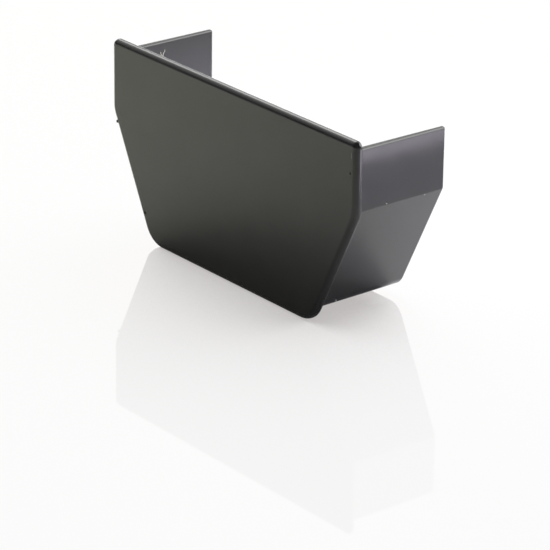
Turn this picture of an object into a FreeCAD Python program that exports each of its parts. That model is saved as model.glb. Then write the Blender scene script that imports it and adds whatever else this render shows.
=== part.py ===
"""Gutter end cap: a flat plate in the gutter's outline, with a trough-shaped skirt moulded on its back.

The cap is one moulding. The plate closes the end of the gutter, the skirt slides into the gutter, and
the lip that the plate leaves proud of the skirt covers the gutter's cut edge.
+X runs across the gutter, +Y along it, away from the plate's face, and +Z is up. The origin is under
the middle of the cap, on the surface that the plate's foot stands on.
"""
import FreeCAD, Part
import math
import os
import Sketcher

NODE = "end_cap"

# Driving dimensions, in millimetres and degrees.
SIZES = {
    "plate_width": 125.0,      # across the upright sides of the plate
    "plate_height": 65.5,      # from the plate's foot to its top edge
    "upright_height": 24.1,    # length of each upright side, above the slanted side
    "foot_width": 83.7,        # across the foot, where its line meets the slanted sides
    "plate_thickness": 2.7,
    "head_radius": 2.2,        # corners at the ends of the top edge
    "shoulder_radius": 8.0,    # corner between upright and slanted side
    "foot_radius": 9.5,        # corner between slanted side and foot
    "rim_flat": 0.2,           # band left flat between the rim's front and back rounding
    "back_radius": 0.6,        # back edge of the plate's border; its front edge takes what is left
    "lip": 2.6,                # how far the plate stands proud of the skirt at its root
    "head_step": 3.35,         # from the plate's top edge down to the skirt's top
    "skirt_reach": 35.2,       # how far the skirt goes into the gutter
    "skirt_wall": 2.4,         # wall at the skirt's root
    "draft_angle": 0.5,        # lean of the skirt's sides, which frees them from the mould
    "crease_radius": 1.8,      # outside of the bend between upright and slanted wall
    "hollow_radius": 0.8,      # tightest bend on the inside of the skirt
    "wing_radius": 0.9,        # upper rear corner of each upright wall, seen from the side
    "edge_radius": 0.65,       # softened edges along the skirt's top and rear end
    "root_radius": 0.5,        # fillet between skirt and plate
}

# Radii that follow from the driving dimensions: the rim's front rounding takes up nearly the whole
# thickness of the plate, and the skirt's heels are concentric with the plate's foot corners.
RIM_RADIUS = "sizes.plate_thickness - sizes.rim_flat - sizes.back_radius"
HEEL_RADIUS = "sizes.foot_radius - sizes.lip"
HEEL_HOLLOW = "max(sizes.foot_radius - sizes.lip - sizes.skirt_wall; sizes.hollow_radius)"

# Lengths below this count as nothing when faces and edges are looked up.
TOLERANCE = 1e-4

doc = FreeCAD.newDocument("gutter_end_cap")


def write_sheet():
    """Puts every driving dimension into the sheet, under its own alias."""
    sheet = doc.addObject("Spreadsheet::Sheet", "sizes")
    for row, (alias, value) in enumerate(SIZES.items(), start=1):
        sheet.set(f"A{row}", alias)
        sheet.set(f"B{row}", str(value))
        sheet.setAlias(f"B{row}", alias)
    doc.recompute()
    return sheet


sizes = write_sheet()
skirt_top = sizes.plate_height - sizes.head_step


# Sketches. Both lie on the seat, the plane y = 0 of the body, where plate and skirt meet.

# Numbers that a sketch gives to the ends of a line, to its own axes and to the first edge it borrows.
START, END = range(1, 3)
X_AXIS, Z_AXIS, FIRST_EXTERNAL = range(-1, -4, -1)


def seat_plane(body):
    """The origin plane that holds X and Z."""
    return [plane for plane in body.Origin.OriginFeatures if plane.Role == "XZ_Plane"][0]


def sketch_on_seat(body, name):
    """An empty sketch on the seat, whose own axes run along X and Z."""
    sketch = body.newObject("Sketcher::SketchObject", name)
    sketch.AttachmentSupport = [(seat_plane(body), "")]
    sketch.MapMode = "FlatFace"
    return sketch


def add_loop(sketch, corners):
    """A closed loop of straight lines: line i starts at corner i."""
    points = [FreeCAD.Vector(x, z, 0) for x, z in corners]
    for start, end in zip(points, points[1:] + points[:1]):
        sketch.addGeometry(Part.LineSegment(start, end), False)
    for line in range(len(points)):
        following = (line + 1) % len(points)
        sketch.addConstraint(Sketcher.Constraint("Coincident", line, END, following, START))


def mirror_corners(sketch, *pairs):
    """Holds the corners of each pair symmetric about the cap's middle."""
    for right, left in pairs:
        sketch.addConstraint(Sketcher.Constraint("Symmetric", right, START, left, START, Z_AXIS))


def dimension(sketch, alias, kind, *where):
    """A dimension of a sketch that follows one cell of the sheet."""
    index = sketch.addConstraint(Sketcher.Constraint(kind, *where, getattr(sizes, alias)))
    sketch.setExpression(f"Constraints[{index}]", f"sizes.{alias}")


def right_half(inset, top):
    """Right half of the plate's outline, drawn in by inset, as corners from the top down to the foot."""
    half = sizes.plate_width / 2
    foot = sizes.foot_width / 2
    shoulder = sizes.plate_height - sizes.upright_height
    lean = math.atan2(half - foot, shoulder)
    return [
        (half - inset, top),
        (half - inset, shoulder + inset * math.tan(lean / 2)),
        (foot + inset * (math.tan(lean) - 1 / math.cos(lean)), inset),
    ]


def left_half(corners):
    """The same corners on the left, from the foot up to the top."""
    return [(-x, z) for x, z in reversed(corners)]


def corners_of(sketch, *lines):
    """Start points of some lines of a sketch, as points of the seat."""
    starts = [sketch.Geometry[line].StartPoint for line in lines]
    return [FreeCAD.Vector(point.x, 0, point.y) for point in starts]


def draw_plate(body):
    """The plate's outline with square corners, and the radius that each pair of corners gets."""
    right = right_half(0.0, sizes.plate_height)
    sketch = sketch_on_seat(body, "plate_outline")
    add_loop(sketch, right + left_half(right))
    upright, slant, foot, left_slant, left_upright, head = range(6)
    mirror_corners(sketch, (upright, head), (slant, left_upright), (foot, left_slant))
    sketch.addConstraint(Sketcher.Constraint("Vertical", upright))
    sketch.addConstraint(Sketcher.Constraint("PointOnObject", foot, START, X_AXIS))
    dimension(sketch, "plate_width", "DistanceX", head, START, head, END)
    dimension(sketch, "foot_width", "DistanceX", foot, END, foot, START)
    dimension(sketch, "upright_height", "DistanceY", upright, END, upright, START)
    dimension(sketch, "plate_height", "DistanceY", foot, START, upright, START)
    doc.recompute()
    return sketch, {
        "head": ("sizes.head_radius", corners_of(sketch, upright, head)),
        "shoulder": ("sizes.shoulder_radius", corners_of(sketch, slant, left_upright)),
        "foot": ("sizes.foot_radius", corners_of(sketch, foot, left_slant)),
    }


def draw_skirt(body, plate_outline):
    """The skirt's section, an even wall one lip inside the plate's outline, and the radii of its bends."""
    outer = right_half(sizes.lip, skirt_top)
    inner = right_half(sizes.lip + sizes.skirt_wall, skirt_top)
    sketch = sketch_on_seat(body, "skirt_section")
    add_loop(sketch, outer + left_half(outer) + left_half(inner)[::-1] + inner[::-1])
    upright, slant, floor, left_slant, left_upright, left_top = range(6)
    in_left_upright, in_left_slant, in_floor, in_slant, in_upright, right_top = range(6, 12)
    mirror_corners(sketch, (upright, left_top), (slant, left_upright), (floor, left_slant))
    mirror_corners(sketch, (right_top, in_left_upright), (in_upright, in_left_slant), (in_slant, in_floor))
    for edge in ("Edge1", "Edge2", "Edge3", "Edge6"):
        sketch.addExternal(plate_outline.Name, edge)
    plate_upright, plate_slant, plate_foot, plate_head = (FIRST_EXTERNAL - i for i in range(4))
    sketch.addConstraint(Sketcher.Constraint("Vertical", upright))
    sketch.addConstraint(Sketcher.Constraint("Vertical", in_upright))
    sketch.addConstraint(Sketcher.Constraint("Parallel", slant, plate_slant))
    sketch.addConstraint(Sketcher.Constraint("Parallel", in_slant, plate_slant))
    sketch.addConstraint(Sketcher.Constraint("Horizontal", right_top))
    dimension(sketch, "head_step", "Distance", upright, START, plate_head)
    dimension(sketch, "lip", "Distance", slant, START, plate_upright)
    dimension(sketch, "lip", "Distance", floor, START, plate_slant)
    dimension(sketch, "lip", "Distance", floor, START, plate_foot)
    dimension(sketch, "skirt_wall", "Distance", in_upright, START, upright)
    dimension(sketch, "skirt_wall", "Distance", in_slant, START, slant)
    dimension(sketch, "skirt_wall", "Distance", in_slant, START, floor)
    doc.recompute()
    return sketch, {
        "crease": ("sizes.crease_radius", corners_of(sketch, slant, left_upright)),
        "heel": (HEEL_RADIUS, corners_of(sketch, floor, left_slant)),
        "crease_hollow": ("sizes.hollow_radius", corners_of(sketch, in_upright, in_left_slant)),
        "heel_hollow": (HEEL_HOLLOW, corners_of(sketch, in_slant, in_floor)),
    }


# Edges and faces are looked up by where the sizes put them, not by their numbers.

def near(first, second):
    """Whether two lengths are the same."""
    return abs(first - second) < TOLERANCE


def in_plane(item, y):
    """Whether an edge or a face lies in the plane at y."""
    return near(item.BoundBox.YMin, y) and near(item.BoundBox.YMax, y)


def edges_in_plane(shape, y):
    """All edges in the plane at y."""
    return [edge for edge in shape.Edges if in_plane(edge, y)]


def corner_edges(shape, corners):
    """Edges that leave the seat at one of the corners."""
    leaving = [edge for edge in shape.Edges if not in_plane(edge, 0)]
    return [edge for edge in leaving if any(
        vertex.Point.isEqual(corner, TOLERANCE) for vertex in edge.Vertexes for corner in corners)]


def skirt_sides(shape):
    """The skirt's long faces, inside and outside, without its two tops."""
    def is_side(box):
        return near(box.YMin, 0) and near(box.YMax, sizes.skirt_reach) and not near(box.ZMin, skirt_top)
    return [face for face in shape.Faces if is_side(face.BoundBox)]


def wing_corner_edges(shape):
    """Upper rear corner of each upright wall."""
    rear = edges_in_plane(shape, sizes.skirt_reach)
    return [edge for edge in rear if near(edge.BoundBox.ZMin, skirt_top)]


def soft_edges(shape):
    """Edges between the skirt's sides and its free border: rear end, tops and the corners between."""
    def is_border(box):
        at_rear = near(box.YMax, sizes.skirt_reach) and not near(box.YMin, 0)
        return at_rear or near(box.ZMin, skirt_top)
    border = [edge for face in shape.Faces if is_border(face.BoundBox) for edge in face.Edges]
    outer = [edge for edge in border if sum(edge.isSame(other) for other in border) == 1]
    return [edge for edge in outer if not in_plane(edge, 0)]


def back_edges(shape):
    """Back edge of the plate's border, all round."""
    def is_border(box):
        return box.YMin < -TOLERANCE and near(box.YMax, 0)
    border = [edge for face in shape.Faces if is_border(face.BoundBox) for edge in face.Edges]
    return [edge for edge in border if in_plane(edge, 0)]


def root_edges(shape):
    """Edges where the skirt stands on the plate."""
    skirt_faces = [face for face in shape.Faces if face.BoundBox.YMax > TOLERANCE]
    return [edge for face in skirt_faces for edge in face.Edges if in_plane(edge, 0)]


# Features, each bound to the sheet.

def add_pad(body, name, sketch, length, towards_rear):
    """Pads a sketch from the seat, to the front or to the rear."""
    pad = body.newObject("PartDesign::Pad", name)
    pad.Profile = sketch
    pad.Reversed = towards_rear
    pad.setExpression("Length", length)
    doc.recompute()


def add_fillet(body, name, radius, pick, *arguments):
    """Rounds the edges that pick finds on the body as it is so far."""
    base = body.Tip
    picked = pick(base.Shape, *arguments)
    numbers = [i for i, edge in enumerate(base.Shape.Edges, start=1) if any(edge.isSame(p) for p in picked)]
    fillet = body.newObject("PartDesign::Fillet", name)
    fillet.Base = (base, [f"Edge{i}" for i in numbers])
    fillet.setExpression("Radius", radius)
    doc.recompute()


def add_draft(body, name, angle, pick):
    """Leans the faces that pick finds towards the wall's middle, more the further they are from the seat."""
    base = body.Tip
    picked = pick(base.Shape)
    numbers = [i for i, face in enumerate(base.Shape.Faces, start=1) if any(face.isSame(p) for p in picked)]
    draft = body.newObject("PartDesign::Draft", name)
    doc.recompute()
    draft.Base = (base, [f"Face{i}" for i in numbers])
    draft.NeutralPlane = (seat_plane(body), [""])
    draft.Reversed = True
    draft.setExpression("Angle", angle)
    doc.recompute()
    if not draft.Shape.Volume < base.Shape.Volume:
        raise RuntimeError("the draft thickens the skirt instead of thinning it")


def build_plate(body):
    """The plate with square corners and edges. Gives its outline and the radii of its corners."""
    outline, corner_radii = draw_plate(body)
    add_pad(body, "plate", outline, "sizes.plate_thickness", False)
    return outline, corner_radii


def build_skirt(body, plate_outline):
    """The skirt's wall with its draft and its bends, but with square edges."""
    section, bend_radii = draw_skirt(body, plate_outline)
    add_pad(body, "skirt", section, "sizes.skirt_reach", True)
    add_draft(body, "skirt_draft", "sizes.draft_angle", skirt_sides)
    for name, (radius, corners) in bend_radii.items():
        add_fillet(body, f"skirt_{name}", radius, corner_edges, corners)


def round_cap(body, corner_radii):
    """Rounds the plate's corners, the skirt's free edges, the plate's rim and the skirt's root.

    The plate comes after the skirt's bends, because a skirt that isn't rounded yet can reach past the
    plate's rounded corners.
    """
    for name, (radius, corners) in corner_radii.items():
        add_fillet(body, f"{name}_corners", radius, corner_edges, corners)
    add_fillet(body, "wing_corners", "sizes.wing_radius", wing_corner_edges)
    add_fillet(body, "soft_edges", "sizes.edge_radius", soft_edges)
    add_fillet(body, "rim", RIM_RADIUS, edges_in_plane, -sizes.plate_thickness)
    add_fillet(body, "rim_back", "sizes.back_radius", back_edges)
    add_fillet(body, "skirt_root", "sizes.root_radius", root_edges)


def build_cap():
    """The whole cap, with the middle of its depth over the origin."""
    body = doc.addObject("PartDesign::Body", "Body")
    body.Label = NODE
    body.setExpression("Placement.Base.y", "(sizes.plate_thickness - sizes.skirt_reach) / 2")
    outline, corner_radii = build_plate(body)
    build_skirt(body, outline)
    round_cap(body, corner_radii)
    doc.recompute()
    return body


def check(body):
    """Stops if a feature failed or the cap isn't one sound solid."""
    failed = [item.Name for item in doc.Objects if {"Invalid", "Error"} & set(item.State)]
    if failed:
        raise RuntimeError(f"these failed: {failed}")
    shape = body.Shape
    if shape.isNull() or not shape.isValid() or len(shape.Solids) != 1:
        raise RuntimeError(f"{body.Label} is not one valid solid")


cap = build_cap()
check(cap)
os.makedirs("parts", exist_ok=True)
cap.Shape.exportStep(f"parts/{cap.Label}.step")
print(f"{cap.Label}: {cap.Shape.Volume / 1000:.2f} cubic centimetres, {len(cap.Shape.Faces)} faces")
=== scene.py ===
# %% [markdown]
# # A gutter end cap in moulded black plastic
#
# The cap closes the end of a rainwater gutter. A flat plate in the gutter's outline carries a
# trough-shaped skirt on its back, and the skirt slides into the gutter. All of it is one moulding, so
# this lesson makes one surface with no seam in it, gives it the finish of glossy black plastic, adds
# the few specks and fibres that lie on it, and sets it on a pale, slightly glossy floor.

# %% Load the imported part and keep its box
import bpy
import numpy as np
from mathutils import Matrix, Vector
from mathutils.geometry import tessellate_polygon


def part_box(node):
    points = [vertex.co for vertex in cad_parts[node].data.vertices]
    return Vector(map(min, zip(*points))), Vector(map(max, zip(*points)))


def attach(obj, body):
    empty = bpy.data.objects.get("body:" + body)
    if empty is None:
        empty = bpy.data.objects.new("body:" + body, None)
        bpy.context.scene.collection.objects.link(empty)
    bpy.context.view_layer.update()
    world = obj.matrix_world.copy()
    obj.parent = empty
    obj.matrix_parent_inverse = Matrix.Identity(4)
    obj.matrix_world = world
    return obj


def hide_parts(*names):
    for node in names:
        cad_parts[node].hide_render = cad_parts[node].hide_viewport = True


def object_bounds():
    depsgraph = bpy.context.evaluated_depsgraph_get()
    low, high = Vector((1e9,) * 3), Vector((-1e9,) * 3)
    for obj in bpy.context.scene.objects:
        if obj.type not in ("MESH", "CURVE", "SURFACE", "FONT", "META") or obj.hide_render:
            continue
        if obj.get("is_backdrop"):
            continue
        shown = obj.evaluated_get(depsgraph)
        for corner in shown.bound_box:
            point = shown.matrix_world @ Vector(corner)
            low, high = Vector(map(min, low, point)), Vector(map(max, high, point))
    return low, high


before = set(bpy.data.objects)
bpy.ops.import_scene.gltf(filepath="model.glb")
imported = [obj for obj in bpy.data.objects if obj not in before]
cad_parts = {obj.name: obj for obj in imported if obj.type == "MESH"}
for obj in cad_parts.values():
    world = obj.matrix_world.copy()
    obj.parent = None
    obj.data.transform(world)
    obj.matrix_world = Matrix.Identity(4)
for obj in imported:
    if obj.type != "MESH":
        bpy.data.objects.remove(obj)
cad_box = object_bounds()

MM = 0.001
low, high = (np.array(corner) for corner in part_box("end_cap"))
print("cap, in millimetres:", np.round((high - low) / MM, 2))

# %% [markdown]
# ## The sizes that shape the cap
#
# Width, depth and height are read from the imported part. The other sizes are the ones that a maker would
# find on the drawing: how long the upright sides are, how far the plate stands proud of the skirt, how
# thick the walls are, and how large each rounding is. Everything below is worked out from these few
# numbers.

# %% Sizes
PLATE_WIDTH, _, PLATE_HEIGHT = high - low
FRONT, REAR = low[1], high[1]
UPRIGHT_HEIGHT = 24.1 * MM
FOOT_WIDTH = 83.7 * MM
PLATE_THICKNESS = 2.7 * MM
HEAD_RADIUS, SHOULDER_RADIUS, FOOT_RADIUS = 2.2 * MM, 8.0 * MM, 9.5 * MM
RIM_FLAT, BACK_RADIUS = 0.2 * MM, 0.6 * MM
LIP = 2.6 * MM
HEAD_STEP = 3.35 * MM
SKIRT_WALL = 2.4 * MM
DRAFT = np.radians(0.5)
CREASE_RADIUS, HOLLOW_RADIUS = 1.8 * MM, 0.8 * MM
TOP_RADIUS, EDGE_RADIUS, ROOT_RADIUS = 0.7 * MM, 0.65 * MM, 0.5 * MM

SEAT = FRONT + PLATE_THICKNESS
RIM_RADIUS = PLATE_THICKNESS - RIM_FLAT - BACK_RADIUS
SKIRT_TOP = PLATE_HEIGHT - HEAD_STEP
print(f"seat plane at y = {SEAT / MM:.2f} mm, skirt top at z = {SKIRT_TOP / MM:.2f} mm")

# %% [markdown]
# ## Walking round a rounded outline
#
# The plate's outline and the skirt's section are both polygons with rounded corners. Each corner
# becomes an arc that is tangent to its two sides, and each side keeps the straight run between its
# arcs. The walk also gives the direction that faces out of the material at each point, because the rims
# and fillets are later built by stepping along that direction.

# %% Outline helper
ARC_POINTS = 13
RUN_STEP = 2.5 * MM


def rounded_loop(corners, radii, corner_shift):
    """A closed polygon, walked with its material on the left, with an arc in each corner.

    An arc starts radius x tan(turn / 2) before its corner. Its points are its centre plus radius times the
    outward direction, which turns evenly from one side's to the next one's. Between two arcs the points run
    straight, about one step apart. Gives the points, the outward directions and, blended along the runs in
    the same way, the shift of each corner.
    """
    ahead = np.roll(corners, -1, axis=0) - corners
    ahead /= np.linalg.norm(ahead, axis=1, keepdims=True)
    behind = np.roll(ahead, 1, axis=0)
    turn = np.arctan2(behind[:, 0] * ahead[:, 1] - behind[:, 1] * ahead[:, 0], (behind * ahead).sum(axis=1))
    side = np.sign(turn)[:, None]
    reach = (radii * np.tan(np.abs(turn) / 2))[:, None]
    facing = np.stack([behind[:, 1], -behind[:, 0]], axis=1)
    centre = corners - behind * reach - side * radii[:, None] * facing
    angle = np.arctan2(facing[:, 1], facing[:, 0])[:, None] + turn[:, None] * np.linspace(0, 1, ARC_POINTS)
    outward = np.stack([np.cos(angle), np.sin(angle)], axis=2)
    arcs = centre[:, None] + (side * radii[:, None])[:, None] * outward
    points, facings, shifts = [], [], []
    for i in range(len(corners)):
        following = (i + 1) % len(corners)
        start, end = arcs[i, -1], arcs[following, 0]
        steps = max(int(np.ceil(np.linalg.norm(end - start) / RUN_STEP)), 1)
        share = (np.arange(1, steps) / steps)[:, None]
        points += [arcs[i], start + share * (end - start)]
        facings += [outward[i], np.repeat(outward[i, -1:], steps - 1, axis=0)]
        still = np.repeat(corner_shift[i:i + 1], ARC_POINTS, axis=0)
        shifts += [still, corner_shift[i] + share * (corner_shift[following] - corner_shift[i])]
    return tuple(np.concatenate(parts) for parts in (points, facings, shifts))


def right_half(inset, top):
    """Right half of the plate's outline drawn in by inset: top, shoulder and foot corner, as x and z."""
    half, foot = PLATE_WIDTH / 2, FOOT_WIDTH / 2
    shoulder = PLATE_HEIGHT - UPRIGHT_HEIGHT
    lean = np.arctan2(half - foot, shoulder)
    return np.array([
        (half - inset, top),
        (half - inset, shoulder + inset * np.tan(lean / 2)),
        (foot + inset * (np.tan(lean) - 1 / np.cos(lean)), inset),
    ])


MIRROR = np.array([-1.0, 1.0])

# %% [markdown]
# ## The plate's rim
#
# The front edge of the real plate is rounded over nearly its whole thickness, and its back edge is only
# broken. That is a profile carried along a path. The path is the plate's outline, and the profile is
# two quarter circles: a large one from the front face out to the outline, and a small one in to the
# back.

# %% Plate outline and rim
RIM_STEPS = 10
plate_right = right_half(0.0, PLATE_HEIGHT)
plate_corners = np.concatenate([plate_right[::-1], plate_right * MIRROR])
corner_radii = np.array([FOOT_RADIUS, SHOULDER_RADIUS, HEAD_RADIUS])
plate_radii = np.concatenate([corner_radii, corner_radii[::-1]])
outline, outline_facing, _ = rounded_loop(plate_corners, plate_radii, np.zeros_like(plate_corners))


def standing(points, y):
    """Points of the x-z plane set up at the height y along the gutter."""
    return np.stack([points[..., 0], np.broadcast_to(y, points[..., 0].shape), points[..., 1]], axis=-1)


def carry(path, facing, shift, profile_y, profile_inset, profile_tilt):
    """A profile carried along a closed path.

    Station by station, the point is the path's point plus the shift times the station's height over the
    seat, less the station's inset along the outward direction. The surface faces outward, turned towards
    the rear by the station's tilt and by the lean that the shift gives it.
    """
    y = profile_y[:, None]
    flat = path + shift * (y - SEAT)[..., None] - facing * profile_inset[:, None, None]
    points = standing(flat, y)
    lean = -(facing * shift).sum(axis=1)
    across = facing * np.cos(profile_tilt)[:, None, None]
    along = np.sin(profile_tilt)[:, None] + np.cos(profile_tilt)[:, None] * lean
    normals = np.stack([across[..., 0], along, across[..., 1]], axis=-1)
    return points, normals / np.linalg.norm(normals, axis=-1, keepdims=True)


quarter = np.linspace(0, np.pi / 2, RIM_STEPS + 1)
front_y, back_y = FRONT + RIM_RADIUS * (1 - np.cos(quarter)), SEAT - BACK_RADIUS * (1 - np.sin(quarter))
rim_y = np.concatenate([front_y, back_y])
rim_inset = np.concatenate([RIM_RADIUS * (1 - np.sin(quarter)), BACK_RADIUS * (1 - np.cos(quarter))])
rim_tilt = np.concatenate([quarter - np.pi / 2, quarter])
rim, rim_normals = carry(outline, outline_facing, np.zeros_like(outline), rim_y, rim_inset, rim_tilt)
print("rim:", rim.shape[0], "stations by", rim.shape[1], "points")

# %% [markdown]
# ## The skirt
#
# Behind the plate stands an even wall, bent like a trough. Its section is one closed outline that goes
# down the outside and comes back along the inside. It is carried straight to the rear, with three
# changes on the way: it flares out at the root where a fillet joins it to the plate, its sides lean
# half a degree so that the part leaves its mould, and it is rounded off at the rear end. The two tops
# don't lean, so each corner of the section gets a shift of its own, found from how far each of its two
# sides moves.

# %% Skirt section and wall
FILLET_STEPS, WALL_STEPS = 6, 14
TOP_SIDES = [5, 11]
outer = right_half(LIP, SKIRT_TOP)
inner = right_half(LIP + SKIRT_WALL, SKIRT_TOP)
skirt_corners = np.concatenate([outer * MIRROR, outer[::-1], inner, inner[::-1] * MIRROR])
heel_radius = FOOT_RADIUS - LIP
heel_hollow = max(heel_radius - SKIRT_WALL, HOLLOW_RADIUS)
outer_radii = np.array([TOP_RADIUS, CREASE_RADIUS, heel_radius])
inner_radii = np.array([TOP_RADIUS, HOLLOW_RADIUS, heel_hollow])
skirt_radii = np.concatenate([outer_radii, outer_radii[::-1], inner_radii, inner_radii[::-1]])


def corner_shifts(corners, leans):
    """How each corner moves when side i is drawn in by leans[i]: both of its sides keep their direction."""
    ahead = np.roll(corners, -1, axis=0) - corners
    ahead /= np.linalg.norm(ahead, axis=1, keepdims=True)
    facing = np.stack([ahead[:, 1], -ahead[:, 0]], axis=1)
    sides = np.stack([np.roll(facing, 1, axis=0), facing], axis=1)
    moves = -np.stack([np.roll(leans, 1), leans], axis=1)
    return np.linalg.solve(sides, moves[..., None])[..., 0]


side_leans = np.full(len(skirt_corners), np.tan(DRAFT))
side_leans[TOP_SIDES] = 0.0
shift = corner_shifts(skirt_corners, side_leans)
section, section_facing, section_shift = rounded_loop(skirt_corners, skirt_radii, shift)

fillet = np.linspace(0, np.pi / 2, FILLET_STEPS + 1)
wall_y = np.linspace(SEAT + ROOT_RADIUS, REAR - EDGE_RADIUS, WALL_STEPS + 1)[1:-1]
flat_wall = np.zeros(WALL_STEPS - 1)
root_y, end_y = SEAT + ROOT_RADIUS * (1 - np.cos(fillet)), REAR - EDGE_RADIUS * (1 - np.sin(fillet))
skirt_y = np.concatenate([root_y, wall_y, end_y])
root_inset, end_inset = -ROOT_RADIUS * (1 - np.sin(fillet)), EDGE_RADIUS * (1 - np.cos(fillet))
skirt_inset = np.concatenate([root_inset, flat_wall, end_inset])
skirt_tilt = np.concatenate([np.pi / 2 - fillet, flat_wall, fillet])
skirt, skirt_normals = carry(section, section_facing, section_shift, skirt_y, skirt_inset, skirt_tilt)
print("skirt:", skirt.shape[0], "stations by", skirt.shape[1], "points")

# %% [markdown]
# ## One closed surface
#
# Rim and skirt are grids, so their faces follow from counting: each four neighbours make one face. The
# front face fills the rim's first loop, the rear end fills the skirt's last loop, and the seat fills
# what is left between the rim's last loop and the skirt's first. Flat faces that meet a rounding would
# shade wrongly if their normals were averaged, so each vertex gets the normal that its formula gives.

# %% Faces and mesh


def grid_faces(rows, columns, first):
    """Quads of a grid that is closed along its columns, numbered row by row from first."""
    row, column = np.meshgrid(np.arange(rows - 1), np.arange(columns), indexing="ij")
    beside = (column + 1) % columns
    quads = np.stack([row * columns + column, (row + 1) * columns + column,
                      (row + 1) * columns + beside, row * columns + beside], axis=-1)
    return (first + quads.reshape(-1, 4)).tolist()


def new_piece(name, vertices, faces, normals=None):
    """A smooth mesh object at the origin, with exact vertex normals where they are given."""
    mesh = bpy.data.meshes.new(name)
    mesh.from_pydata(vertices.tolist(), [], faces)
    mesh.polygons.foreach_set("use_smooth", np.ones(len(mesh.polygons), dtype=bool))
    mesh.update()
    if normals is not None:
        mesh.normals_split_custom_set_from_vertices(normals.tolist())
    piece = bpy.data.objects.new(name, mesh)
    bpy.context.scene.collection.objects.link(piece)
    print(f"{name}: {len(mesh.vertices)} vertices, {len(mesh.polygons)} faces")
    return piece


rim_rows, rim_columns = rim.shape[:2]
skirt_rows, skirt_columns = skirt.shape[:2]
skirt_first = rim_rows * rim_columns
front_loop = np.arange(rim_columns)
seat_loop = front_loop + (rim_rows - 1) * rim_columns
root_loop = skirt_first + np.arange(skirt_columns)
end_loop = root_loop + (skirt_rows - 1) * skirt_columns
vertices = np.concatenate([rim.reshape(-1, 3), skirt.reshape(-1, 3)])
normals = np.concatenate([rim_normals.reshape(-1, 3), skirt_normals.reshape(-1, 3)])

seat_loops = [seat_loop[::-1], root_loop]
flat_loops = [[Vector((x, z, 0)) for x, z in vertices[loop][:, [0, 2]]] for loop in seat_loops]
seat_faces = np.concatenate(seat_loops)[np.array(tessellate_polygon(flat_loops))]
corner = vertices[seat_faces]
turned = np.cross(corner[:, 1] - corner[:, 0], corner[:, 2] - corner[:, 0])[:, 1] < 0
seat_faces[turned] = seat_faces[turned][:, ::-1]
faces = grid_faces(rim_rows, rim_columns, 0) + grid_faces(skirt_rows, skirt_columns, skirt_first)
faces += [front_loop.tolist(), end_loop[::-1].tolist()] + seat_faces.tolist()
moulding = new_piece("cap_moulding", vertices, faces, normals)

# %% [markdown]
# ## Glossy black plastic
#
# The cap is moulded in black plastic in a polished tool. Its own colour is nearly black, so almost all
# that the eye sees of it is reflection: the pale floor in the flat faces and a bright strip along each
# rounding. A moulded face is never quite flat or evenly polished. Slow noise lets colour and roughness
# drift a little, a wide swell of less than a tenth of a millimetre bends the reflections, and a very
# fine grain takes off the last of the mirror. All of it hangs on the piece's own coordinates, so it
# stays in place when the cap moves.

# %% Node helpers
NOISE_ROUGHNESS = 0.55


def new_material(name):
    """A node material, with its tree and its shader."""
    material = bpy.data.materials.new(name)
    material.use_nodes = True
    return material, material.node_tree, material.node_tree.nodes["Principled BSDF"]


def add_node(tree, kind, **settings):
    """A node of a kind, with the given settings and named inputs."""
    node = tree.nodes.new(kind)
    for key, value in settings.items():
        if key in node.inputs:
            node.inputs[key].default_value = value
        else:
            setattr(node, key, value)
    return node


def add_noise(tree, scale, detail):
    """Noise on the piece's own coordinates, with about scale blotches to the metre."""
    place = add_node(tree, "ShaderNodeTexCoord")
    noise = add_node(tree, "ShaderNodeTexNoise", Scale=scale, Detail=detail, Roughness=NOISE_ROUGHNESS)
    tree.links.new(place.outputs["Object"], noise.inputs["Vector"])
    return noise.outputs["Fac"]


def spread(tree, value, range_from, range_to):
    """A value taken from one range to another in proportion, and held at the ends."""
    stretch = add_node(tree, "ShaderNodeMapRange")
    ends = range_from + range_to
    for name, end in zip(("From Min", "From Max", "To Min", "To Max"), ends):
        stretch.inputs[name].default_value = end
    tree.links.new(value, stretch.inputs["Value"])
    return stretch.outputs["Result"]


def add_ramp(tree, value, stops):
    """A colour ramp over a value, with grey or coloured stops given as position and colour."""
    ramp = add_node(tree, "ShaderNodeValToRGB")
    elements = ramp.color_ramp.elements
    elements[0].position, elements[1].position = stops[0][0], stops[-1][0]
    for position, _ in stops[1:-1]:
        elements.new(position)
    for element, (_, colour) in zip(elements, stops):
        element.color = (*colour, 1)
    tree.links.new(value, ramp.inputs["Fac"])
    return ramp.outputs["Color"]


def grey(level):
    """A colour with the same level in red, green and blue."""
    return (level, level, level)


# %% Plastic
PLASTIC_IOR = 1.6
DRIFT_NOISE, DRIFT_STOPS = (45.0, 4.0), [(0.1, grey(0.034)), (0.9, grey(0.042))]
POLISH_NOISE, NOISE_RANGE, POLISH = (80.0, 5.0), (0.1, 0.9), (0.06, 0.14)
SWELL_NOISE, SWELL_HEIGHT = (28.0, 1.0), 0.08 * MM
GRAIN_NOISE, GRAIN_HEIGHT = (1400.0, 2.0), 0.002 * MM
plastic, tree, shader = new_material("black_plastic_gloss")
shader.inputs["IOR"].default_value = PLASTIC_IOR
drift = add_ramp(tree, add_noise(tree, *DRIFT_NOISE), DRIFT_STOPS)
polish = spread(tree, add_noise(tree, *POLISH_NOISE), NOISE_RANGE, POLISH)
tree.links.new(polish, shader.inputs["Roughness"])
swell = add_node(tree, "ShaderNodeBump", Strength=1.0, Distance=SWELL_HEIGHT)
tree.links.new(add_noise(tree, *SWELL_NOISE), swell.inputs["Height"])
grain = add_node(tree, "ShaderNodeBump", Strength=1.0, Distance=GRAIN_HEIGHT)
tree.links.new(add_noise(tree, *GRAIN_NOISE), grain.inputs["Height"])
tree.links.new(swell.outputs["Normal"], grain.inputs["Normal"])
tree.links.new(grain.outputs["Normal"], shader.inputs["Normal"])
moulding.data.materials.append(plastic)
print("plastic: colour, roughness and two bumps drift over the piece")

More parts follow.
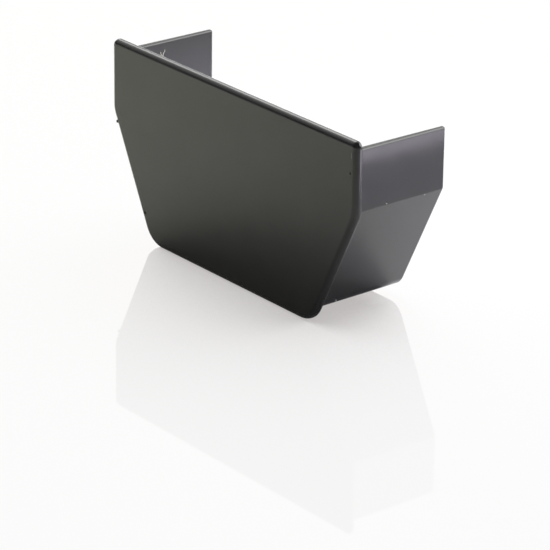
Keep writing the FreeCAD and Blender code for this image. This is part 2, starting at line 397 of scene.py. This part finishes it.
# %% [markdown]
# ## Marks in the skin
#
# The real cap has three marks that are too flat to be pieces of their own: a dark pinhole and a pale
# scratch beside the right end of the plate, and a small dark nick low down by the left rim. Each is an
# ellipsoid round a point of the piece, inside which the finish changes. The pinhole and the nick are
# small pits whose shade is painted: there the colour is nearly black and the reflection nearly goes
# out. The scratch has torn the skin, so there the colour is paler.

# %% Marks
PINHOLE = (59.8, -18.95, 55.3), (0.45, 0.4, 0.5)
NICK = (-44.3, -18.95, 10.3), (0.7, 0.6, 0.65)
SCRATCH = (60.2, -18.95, 61.1), (0.17, 0.4, 1.4)
MARK_BORDER = (0.6, 1.0)
# The pits' painted shade: a reflection level and a near-black colour.
PLAIN_SPECULAR, PIT_SHADE_SPECULAR = 0.5, 0.06
PIT_SHADE_LEVEL, SCRATCH_LEVEL = 0.002, 0.12
# The Mix node's colour sockets, which come after its number and vector sockets.
MIX_FIRST, MIX_SECOND, MIX_RESULT = 6, 7, 2


def mark(tree, centre, reach):
    """One inside a small ellipsoid and zero outside it, with a soft border.

    The place is shifted to the ellipsoid's centre and divided by its three half axes, so that its length is
    one on the border. The centre and the half axes are in millimetres.
    """
    place = add_node(tree, "ShaderNodeTexCoord").outputs["Object"]
    for operation, values in (("SUBTRACT", centre), ("DIVIDE", reach)):
        step = add_node(tree, "ShaderNodeVectorMath", operation=operation)
        step.inputs[1].default_value = [value * MM for value in values]
        tree.links.new(place, step.inputs[0])
        place = step.outputs["Vector"]
    length = add_node(tree, "ShaderNodeVectorMath", operation="LENGTH")
    tree.links.new(place, length.inputs[0])
    return spread(tree, length.outputs["Value"], MARK_BORDER, (1.0, 0.0))


# Painted shade inside the pinhole and the nick: the reflection is dimmed and the colour goes nearly black.
dark = add_node(tree, "ShaderNodeMath", operation="MAXIMUM")
tree.links.new(mark(tree, *PINHOLE), dark.inputs[0])
tree.links.new(mark(tree, *NICK), dark.inputs[1])
pit_shaded_reflection = spread(tree, dark.outputs[0], (0.0, 1.0), (PLAIN_SPECULAR, PIT_SHADE_SPECULAR))
tree.links.new(pit_shaded_reflection, shader.inputs["Specular IOR Level"])
colour = drift
for mask, level in ((mark(tree, *SCRATCH), SCRATCH_LEVEL), (dark.outputs[0], PIT_SHADE_LEVEL)):
    painted = add_node(tree, "ShaderNodeMix", data_type="RGBA")
    tree.links.new(mask, painted.inputs["Factor"])
    tree.links.new(colour, painted.inputs[MIX_FIRST])
    painted.inputs[MIX_SECOND].default_value = (*grey(level), 1)
    colour = painted.outputs[MIX_RESULT]
tree.links.new(colour, shader.inputs["Base Color"])
print("marks: pinhole, nick and scratch in the plastic's skin")

# %% [markdown]
# ## A tag of flash and a few grains of dust
#
# Where the two halves of a mould meet, a little plastic can squeeze out. One such tag is left on the
# left shoulder of the plate. Three pale grains of dust sit on the skirt, two along its crease and one
# by its heel. All four are lumpy balls: rings of points from pole to pole, with the radius swelling and
# shrinking a little on the way round. They are sunk to about their middle in the surface that they sit
# on.

# %% Lumps
LUMP_RINGS, LUMP_SIDES = 9, 14
POLE_GAP = 0.06
LUMP_SWELL, LUMP_WAVES, LUMP_TWIST = 0.14, 3, 2


def closed_rings(name, rings):
    """A piece from rings of points, one behind the other, with its first and last ring filled."""
    rows, columns = rings.shape[:2]
    last = np.arange(columns) + (rows - 1) * columns
    ends = [list(range(columns)), last[::-1].tolist()]
    return new_piece(name, rings.reshape(-1, 3), grid_faces(rows, columns, 0) + ends)


def lump(name, centre, reach):
    """A lumpy ball: across = sin(pole angle) x (1 + a wave that runs three times round), along = -cos.

    The rings stop a small gap before the poles. The centre and the half axes are in millimetres.
    """
    pole = np.linspace(POLE_GAP, np.pi - POLE_GAP, LUMP_RINGS)[:, None]
    turn = np.linspace(0, 2 * np.pi, LUMP_SIDES, endpoint=False)[None, :]
    across = np.sin(pole) * (1 + LUMP_SWELL * np.sin(LUMP_WAVES * turn + LUMP_TWIST * pole))
    along = np.broadcast_to(-np.cos(pole), across.shape)
    ball = np.stack([across * np.cos(turn), along, across * np.sin(turn)], axis=-1)
    return closed_rings(name, (np.array(centre) + ball * np.array(reach)) * MM)


flash_tag = lump("flash_tag", (-60.0, -18.35, 37.35), (0.75, 0.5, 0.55))
flash_tag.data.materials.append(plastic)
grains = [
    lump("dust_on_crease", (59.8, -4.29, 42.3), (0.12, 0.22, 0.14)),
    lump("dust_at_crease_end", (59.5, 11.25, 41.6), (0.09, 0.16, 0.1)),
    lump("dust_by_heel", (41.3, -8.4, 5.2), (0.36, 0.4, 0.36)),
]

# %% [markdown]
# ## Lint on the rim
#
# A tuft of white lint hangs on the top of the plate's rim, left of the middle. A fibre is a thin round
# profile carried along a path. Four points bend the path, the way that handles bend a curve in a
# drawing program, and the profile is thickest in the middle of the fibre. The fibres lean back over the
# skirt.

# %% Fibres
FIBRE_STATIONS, FIBRE_SIDES = 25, 8
FIBRE_RADIUS, FIBRE_TAPER = 0.085, 0.6
LINT_ROUGHNESS, LINT_NOISE = 0.9, (900.0, 2.0)
LINT_STOPS = [(0.3, (0.6, 0.6, 0.58)), (0.7, (0.85, 0.85, 0.83))]


def fibre(name, handles):
    """A tapered tube along a cubic curve.

    With s from 0 to 1, the path is the sum of the four handles weighted by (1-s)^3, 3s(1-s)^2, 3s^2(1-s) and
    s^3. Round each of its points runs a circle, square to the path, whose radius is largest half way.
    The handles and the radius are in millimetres.
    """
    share = np.linspace(0, 1, FIBRE_STATIONS)[:, None]
    rest = 1 - share
    weights = np.hstack([rest ** 3, 3 * share * rest ** 2, 3 * share ** 2 * rest, share ** 3])
    path = weights @ np.array(handles)
    ahead = np.gradient(path, axis=0)
    ahead /= np.linalg.norm(ahead, axis=1, keepdims=True)
    side = np.cross(ahead, (0.0, 0.0, 1.0))
    side /= np.linalg.norm(side, axis=1, keepdims=True)
    upward = np.cross(side, ahead)
    turn = np.linspace(0, 2 * np.pi, FIBRE_SIDES, endpoint=False)[None, :, None]
    radius = FIBRE_RADIUS * (1 - FIBRE_TAPER * np.abs(2 * share - 1) ** 3)[:, None]
    rings = path[:, None] + radius * (np.cos(turn) * side[:, None] + np.sin(turn) * upward[:, None])
    return closed_rings(name, rings * MM)


fibres = [
    fibre("lint_long", [
        (-37.3, -16.7, 65.36), (-40.4, -15.0, 65.4), (-41.4, -12.6, 65.3), (-43.6, -11.6, 65.2)]),
    fibre("lint_short", [
        (-37.8, -16.6, 65.36), (-39.6, -15.9, 65.4), (-41.2, -15.1, 65.3), (-42.4, -13.9, 65.1)]),
    fibre("lint_on_rim", [
        (-40.4, -16.4, 65.3), (-39.0, -16.1, 65.34), (-38.0, -16.6, 65.38), (-36.0, -16.3, 65.28)]),
]

lint, tree, shader = new_material("pale_lint")
shader.inputs["Roughness"].default_value = LINT_ROUGHNESS
paleness = add_ramp(tree, add_noise(tree, *LINT_NOISE), LINT_STOPS)
tree.links.new(paleness, shader.inputs["Base Color"])
for piece in fibres + grains:
    piece.data.materials.append(lint)

# %% [markdown]
# ## The floor
#
# The cap was photographed on a white, satin sheet that runs out of the picture on all sides. It is lit
# like any white sheet, and that light is what the cap reflects. To the camera it looks nearly pure
# white, which comes from a glow that only the camera's rays get in full, and the cap's reflections get
# far from the cap. The cap's shadow on the sheet is painted: to the camera the share of the mirror
# follows how much of the sky the cap hides at each point, felt for on a hemisphere that leans back
# towards the light, and the mirror shows the dark cap and the dim surroundings. The share is about a
# half at the plate's foot and a twentieth in the open. The sheet's matt white is painted duller and its
# glow a little warmer where the cap hides the sky, a painted shade, so the cap's walls darken downwards.

# %% Floor sheet
FLOOR_SIZE = 12.0
corner_signs = np.array([(-1, -1, 0), (1, -1, 0), (1, 1, 0), (-1, 1, 0)])
floor = new_piece("floor", corner_signs * FLOOR_SIZE / 2, [(0, 1, 2, 3)])
floor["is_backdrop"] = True
sheet, tree, shader = new_material("pale_floor")
nodes, links = tree.nodes, tree.links
nodes.remove(shader)
print("floor:", FLOOR_SIZE, "m square")

# %% Openness of the floor
OPEN_REACH = 200 * MM
OPEN_LEAN = (-0.3, 0.5, 0.81)
OPEN_SAMPLES = 16
lean = add_node(tree, "ShaderNodeCombineXYZ", X=OPEN_LEAN[0], Y=OPEN_LEAN[1], Z=OPEN_LEAN[2])
openness = add_node(tree, "ShaderNodeAmbientOcclusion", samples=OPEN_SAMPLES, Distance=OPEN_REACH)
links.new(lean.outputs["Vector"], openness.inputs["Normal"])
print("openness: felt for over", OPEN_REACH, "m")

# %% Floor glow
FLOOR_GLOW = 0.95
# Painted shade: the sheet's matt white is duller where the cap hides the sky.
MATT_SHADE_STOPS = [(0.3, grey(0.62)), (0.45, grey(0.56)), (0.65, grey(0.56)),
              (0.8, grey(0.81)), (0.95, grey(0.87))]
# Painted shade: the glow turns a little dimmer and warmer where the cap hides the sky.
GLOW_SHADE_STOPS = [(0.3, (1.0, 0.965, 0.95)), (0.65, (0.995, 0.985, 0.98)), (0.9, grey(0.99))]
NEAR, FAR = 0.25, 0.6
NEAR_SHARE, FAR_SHARE = 0.06, 1.0
matt = add_node(tree, "ShaderNodeBsdfDiffuse")
links.new(add_ramp(tree, openness.outputs["AO"], MATT_SHADE_STOPS), matt.inputs["Color"])
glow = add_node(tree, "ShaderNodeEmission", Strength=1.0)
links.new(add_ramp(tree, openness.outputs["AO"], GLOW_SHADE_STOPS), glow.inputs["Color"])
path = add_node(tree, "ShaderNodeLightPath")
place = add_node(tree, "ShaderNodeTexCoord")
away = add_node(tree, "ShaderNodeVectorMath", operation="LENGTH")
links.new(place.outputs["Object"], away.inputs[0])
mirrored_share = spread(tree, away.outputs["Value"], (NEAR, FAR), (NEAR_SHARE, FAR_SHARE))
seen = add_node(tree, "ShaderNodeMath", operation="MAXIMUM")
links.new(path.outputs["Is Camera Ray"], seen.inputs[0])
links.new(path.outputs["Is Transmission Ray"], seen.inputs[1])
seen_or_mirrored = add_node(tree, "ShaderNodeMath", operation="MULTIPLY_ADD")
links.new(path.outputs["Is Glossy Ray"], seen_or_mirrored.inputs[0])
links.new(mirrored_share, seen_or_mirrored.inputs[1])
links.new(seen.outputs[0], seen_or_mirrored.inputs[2])
lit = add_node(tree, "ShaderNodeMixShader")
glow_share = spread(tree, seen_or_mirrored.outputs[0], (0.0, 1.0), (0.0, FLOOR_GLOW))
links.new(glow_share, lit.inputs["Fac"])
links.new(matt.outputs[0], lit.inputs[1])
links.new(glow.outputs[0], lit.inputs[2])
print("floor glow:", FLOOR_GLOW, "to the camera,", NEAR_SHARE, "to", FAR_SHARE, "of it in reflections")

# %% Floor mirror
# Painted shadow: near the cap the camera sees more mirror, which shows the dark cap and the dim
# surroundings, so the sheet there darkens like the cap's shadow.
MIRROR_SHADOW_STOPS = [(0.3, grey(0.48)), (0.4, grey(0.34)), (0.5, grey(0.25)), (0.6, grey(0.165)),
                (0.72, grey(0.105)), (0.92, grey(0.055))]
MIRROR_LEAST, MIRROR_ROUGHNESS = 0.01, 0.03
mirror = add_node(tree, "ShaderNodeBsdfGlossy", Color=(*grey(1.0), 1), Roughness=MIRROR_ROUGHNESS)
shadow_mirror_share = add_node(tree, "ShaderNodeMath", operation="MULTIPLY")
links.new(add_ramp(tree, openness.outputs["AO"], MIRROR_SHADOW_STOPS), shadow_mirror_share.inputs[0])
links.new(path.outputs["Is Camera Ray"], shadow_mirror_share.inputs[1])
mirror_share = add_node(tree, "ShaderNodeMath", operation="MAXIMUM")
links.new(shadow_mirror_share.outputs[0], mirror_share.inputs[0])
mirror_share.inputs[1].default_value = MIRROR_LEAST
satin = add_node(tree, "ShaderNodeMixShader")
links.new(mirror_share.outputs[0], satin.inputs["Fac"])
links.new(lit.outputs[0], satin.inputs[1])
links.new(mirror.outputs[0], satin.inputs[2])
links.new(satin.outputs[0], nodes["Material Output"].inputs["Surface"])
floor.data.materials.append(sheet)
print("floor mirror: share", MIRROR_SHADOW_STOPS[0][1][0], "by the cap,", MIRROR_SHADOW_STOPS[-1][1][0], "in the open")

# %% [markdown]
# ## The white surroundings
#
# The backdrop is white without an edge. Only the camera sees it at full strength. As a light on the cap
# it is kept low, so that black plastic stays black and the lamps below do the lighting.

# %% World
FILL = 0.1
world = bpy.data.worlds.new("studio")
world.use_nodes = True
bpy.context.scene.world = world
tree = world.node_tree
backing = tree.nodes["Background"]
backing.inputs["Color"].default_value = (*grey(1.0), 1)
path = add_node(tree, "ShaderNodeLightPath")
seen = add_node(tree, "ShaderNodeMath", operation="MAXIMUM")
tree.links.new(path.outputs["Is Camera Ray"], seen.inputs[0])
tree.links.new(path.outputs["Is Transmission Ray"], seen.inputs[1])
tree.links.new(spread(tree, seen.outputs[0], (0.0, 1.0), (FILL, 1.0)), backing.inputs["Strength"])
print("world: white to the camera,", FILL, "as a light")

# %% [markdown]
# ## Lamps
#
# One broad lamp stands behind the cap, a little to the left and high up, so the plate's face lies in
# its own shadow and shows the floor in front, darker towards the foot. Three small lamps that shine
# straight down wash the floor, one behind the skirt, one to its right and one to the left of the plate,
# because those patches are what the walls and the left end of the plate reflect. A lamp's power is set
# from the brightness that its surface should have, which keeps the numbers alike for lamps of any size.

# %% Lamps


def add_panel(name, place, turn, size, radiance, colour):
    """A rectangular lamp that shines along its own -Z axis, with power = pi x area x radiance."""
    lamp = bpy.data.lights.new(name, "AREA")
    lamp.shape = "RECTANGLE"
    lamp.size, lamp.size_y = size
    lamp.energy = radiance * np.pi * size[0] * size[1]
    lamp.color = colour
    panel = bpy.data.objects.new(name, lamp)
    panel.location = place
    panel.rotation_euler = turn
    panel.visible_camera = False
    bpy.context.scene.collection.objects.link(panel)
    print(f"{name}: radiance {radiance}")
    return panel


def toward(azimuth, elevation):
    """The direction from the cap at an azimuth, from +X towards +Y, and an elevation, in degrees."""
    turn, rise = np.radians(azimuth), np.radians(elevation)
    return Vector((np.cos(turn) * np.cos(rise), np.sin(turn) * np.cos(rise), np.sin(rise)))


def turned_to_cap(direction):
    """The turn of a lamp that stands in a direction from the cap and shines back at it."""
    return direction.to_track_quat("Z", "Y").to_euler()


SHINE_DOWN = (0, 0, 0)
SKY_DISTANCE = 0.5
sky = toward(122, 50)
lamps = [
    add_panel("sky_lamp", sky * SKY_DISTANCE, turned_to_cap(sky), (0.8, 0.36), 4.3, (1.0, 1.0, 0.9)),
    add_panel("rear_wash", (0.01, 0.11, 0.075), SHINE_DOWN, (0.05, 0.05), 17.0, (0.92, 0.87, 1.12)),
    add_panel("left_wash", (-0.19, -0.12, 0.14), SHINE_DOWN, (0.1, 0.1), 2.0, (1.0, 1.0, 0.7)),
    add_panel("right_wash", (0.17, 0.085, 0.09), SHINE_DOWN, (0.06, 0.06), 4.25, (0.64, 0.62, 1.0)),
]
for panel in lamps:
    panel.visible_glossy = False

# %% [markdown]
# ## White cards for the roundings
#
# A glossy rounding shows a narrow picture of everything round it. A photographer shapes that picture
# with white cards, and so does this scene. Far away stand seven of them, which light nothing and are
# only there to be mirrored. From left to right they make the highlight on the rim fall off softly, and
# the brightest one draws the pale strips along the tops of the skirt. Two cards low on the right give
# the upper part of the right wall its pale band.

# %% Cards
CARD_DISTANCE = 8.0


def add_card(name, azimuth, elevation, across, tall, radiance):
    """A far card that spans so many degrees across and upright, as seen from the cap, and faces it."""
    away = toward(azimuth, elevation)
    size = 2 * CARD_DISTANCE * np.tan(np.radians([across, tall]) / 2)
    return add_panel(name, away * CARD_DISTANCE, turned_to_cap(away), size.tolist(), radiance, grey(1.0))


cards = [
    add_card("far_left_card", 210, 31, 15, 24, 0.4),
    add_card("left_card", 188, 42, 17, 23, 1.0),
    add_card("sky_card", 156, 42.5, 24.5, 27, 3.6),
    add_card("back_card", 141, 13, 80, 31, 0.9),
    add_card("low_back_card", 141, 4, 70, 15, 3.0),
    add_card("top_card", 113, 47, 33, 30, 1.6),
    add_card("side_card", 60, 29, 53, 53, 4.8),
]
for panel in cards:
    panel.visible_diffuse = False

FACE_UP = (np.pi, 0, 0)
LOW_CARD_SIZE, LOW_CARD_MIDDLE, LOW_CARD_HEIGHT = (0.09, 0.13), 0.095, 0.002
BAND_TINT = (1.0, 0.92, 1.08)
for name, left_end, radiance in (("low_card", 173 * MM, 2.4), ("low_card_far", 177 * MM, 1.8)):
    middle = (left_end + LOW_CARD_SIZE[0] / 2, LOW_CARD_MIDDLE, LOW_CARD_HEIGHT)
    add_panel(name, middle, FACE_UP, LOW_CARD_SIZE, radiance, BAND_TINT)

# %% [markdown]
# ## The camera
#
# The photo was taken from a little over a metre away with a long lens, from the right of the plate and
# from above. The numbers come from fitting a camera to the edges of the cap. The fit gives the focal
# length in picture widths, and a 36 mm sensor turns that into a lens.

# %% Camera
FOCAL_WIDTHS, SENSOR_WIDTH = 6.28360, 36.0
CLIP_NEAR, CLIP_FAR = 0.01, 50
AZIMUTH, ELEVATION, ROLL = np.radians(51.4093), np.radians(22.2199), -0.0127
DISTANCE = 1102.68 * MM
TARGET = np.array([8.5372, -6.45, 2.5276]) * MM
level = np.cos(ELEVATION)
back = np.array([np.sin(AZIMUTH) * level, -np.cos(AZIMUTH) * level, np.sin(ELEVATION)])
right = np.cross((0, 0, 1), back)
right /= np.linalg.norm(right)
up = np.cross(back, right)
stand = np.eye(4)
stand[:3, 0] = np.cos(ROLL) * right - np.sin(ROLL) * up
stand[:3, 1] = np.sin(ROLL) * right + np.cos(ROLL) * up
stand[:3, 2] = back
stand[:3, 3] = TARGET + back * DISTANCE
optics = bpy.data.cameras.new("camera")
optics.sensor_width = SENSOR_WIDTH
optics.lens = SENSOR_WIDTH * FOCAL_WIDTHS
optics.clip_start, optics.clip_end = CLIP_NEAR, CLIP_FAR
camera = bpy.data.objects.new("camera", optics)
camera.matrix_world = Matrix(stand.tolist())
bpy.context.scene.collection.objects.link(camera)
bpy.context.scene.camera = camera
bpy.context.scene.view_settings.view_transform = "Standard"
print(f"camera: {optics.lens:.0f} mm lens, {DISTANCE:.2f} m away")

# %% [markdown]
# ## Handing the pieces over
#
# Each piece is told which body it moves with. The cap has one body, so all of them ride on it. The
# moulding stands in for the part from the drawing, which is hidden. The boxes of the part before and
# after are kept, to show that the pieces stay inside it.

# %% Hand over
for piece in [moulding, flash_tag] + grains + fibres:
    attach(piece, "root")
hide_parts("end_cap")
boxes = {"cad": cad_box, "visual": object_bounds()}
for name, box in boxes.items():
    print(name, "box, in millimetres:", np.round(np.array(box) / MM, 2).tolist())
